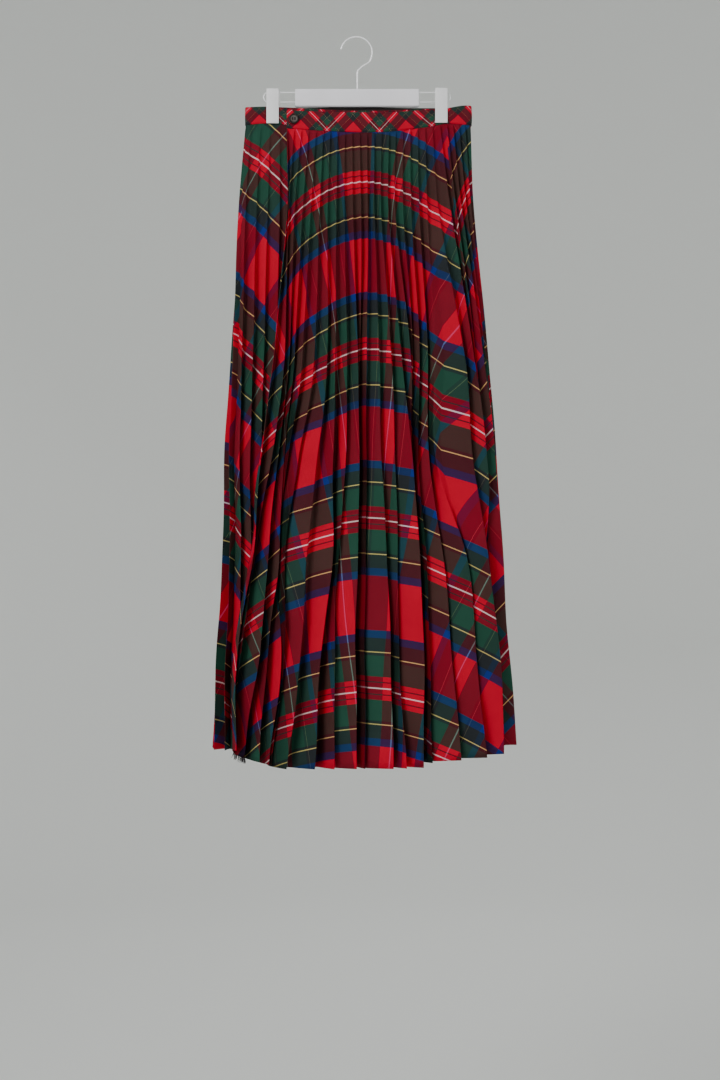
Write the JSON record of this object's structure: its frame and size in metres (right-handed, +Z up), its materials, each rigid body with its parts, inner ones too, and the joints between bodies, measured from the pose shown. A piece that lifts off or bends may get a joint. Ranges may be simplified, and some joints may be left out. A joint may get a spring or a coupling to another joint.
{
  "type": "pleated wrap skirt on a clip hanger",
  "caption": "Long accordion-pleated tartan wrap skirt with a bias-cut waistband and a button, hung flat by its waistband from a clip hanger.",
  "frame": {"origin": "inside top of the hanger's hook, where a rail carries it", "axes": "+Z up along the skirt's length, the front with the overlap and button faces -Y, +X to the viewer's right"},
  "size_m": [0.4602, 0.1116, 1.0944],
  "materials": {
    "skirt_cloth": "twill tartan, soft low sheen",
    "band_cloth": "the same tartan cut on the bias",
    "frayed_thread": "loose threads",
    "horn_button": "polished mottled horn look",
    "hook_steel": "bright plated wire",
    "hanger_plastic": "light grey satin moulding"
  },
  "bodies": {
    "root": {"waistband": "band_cloth", "front_wrap_panel": "skirt_cloth", "right_back_panel": "skirt_cloth", "left_back_panel": "skirt_cloth", "under_wrap_panel": "skirt_cloth", "front_edge_fringe": "frayed_thread", "under_edge_fringe": "frayed_thread", "button": "horn_button", "hanger_hook": "hook_steel", "hanger_wire": "hook_steel", "hanger_bar": "hanger_plastic", "clip_left_front_jaw": "hanger_plastic", "clip_left_back_jaw": "hanger_plastic", "clip_right_front_jaw": "hanger_plastic", "clip_right_back_jaw": "hanger_plastic"}
  },
  "joints": []
}
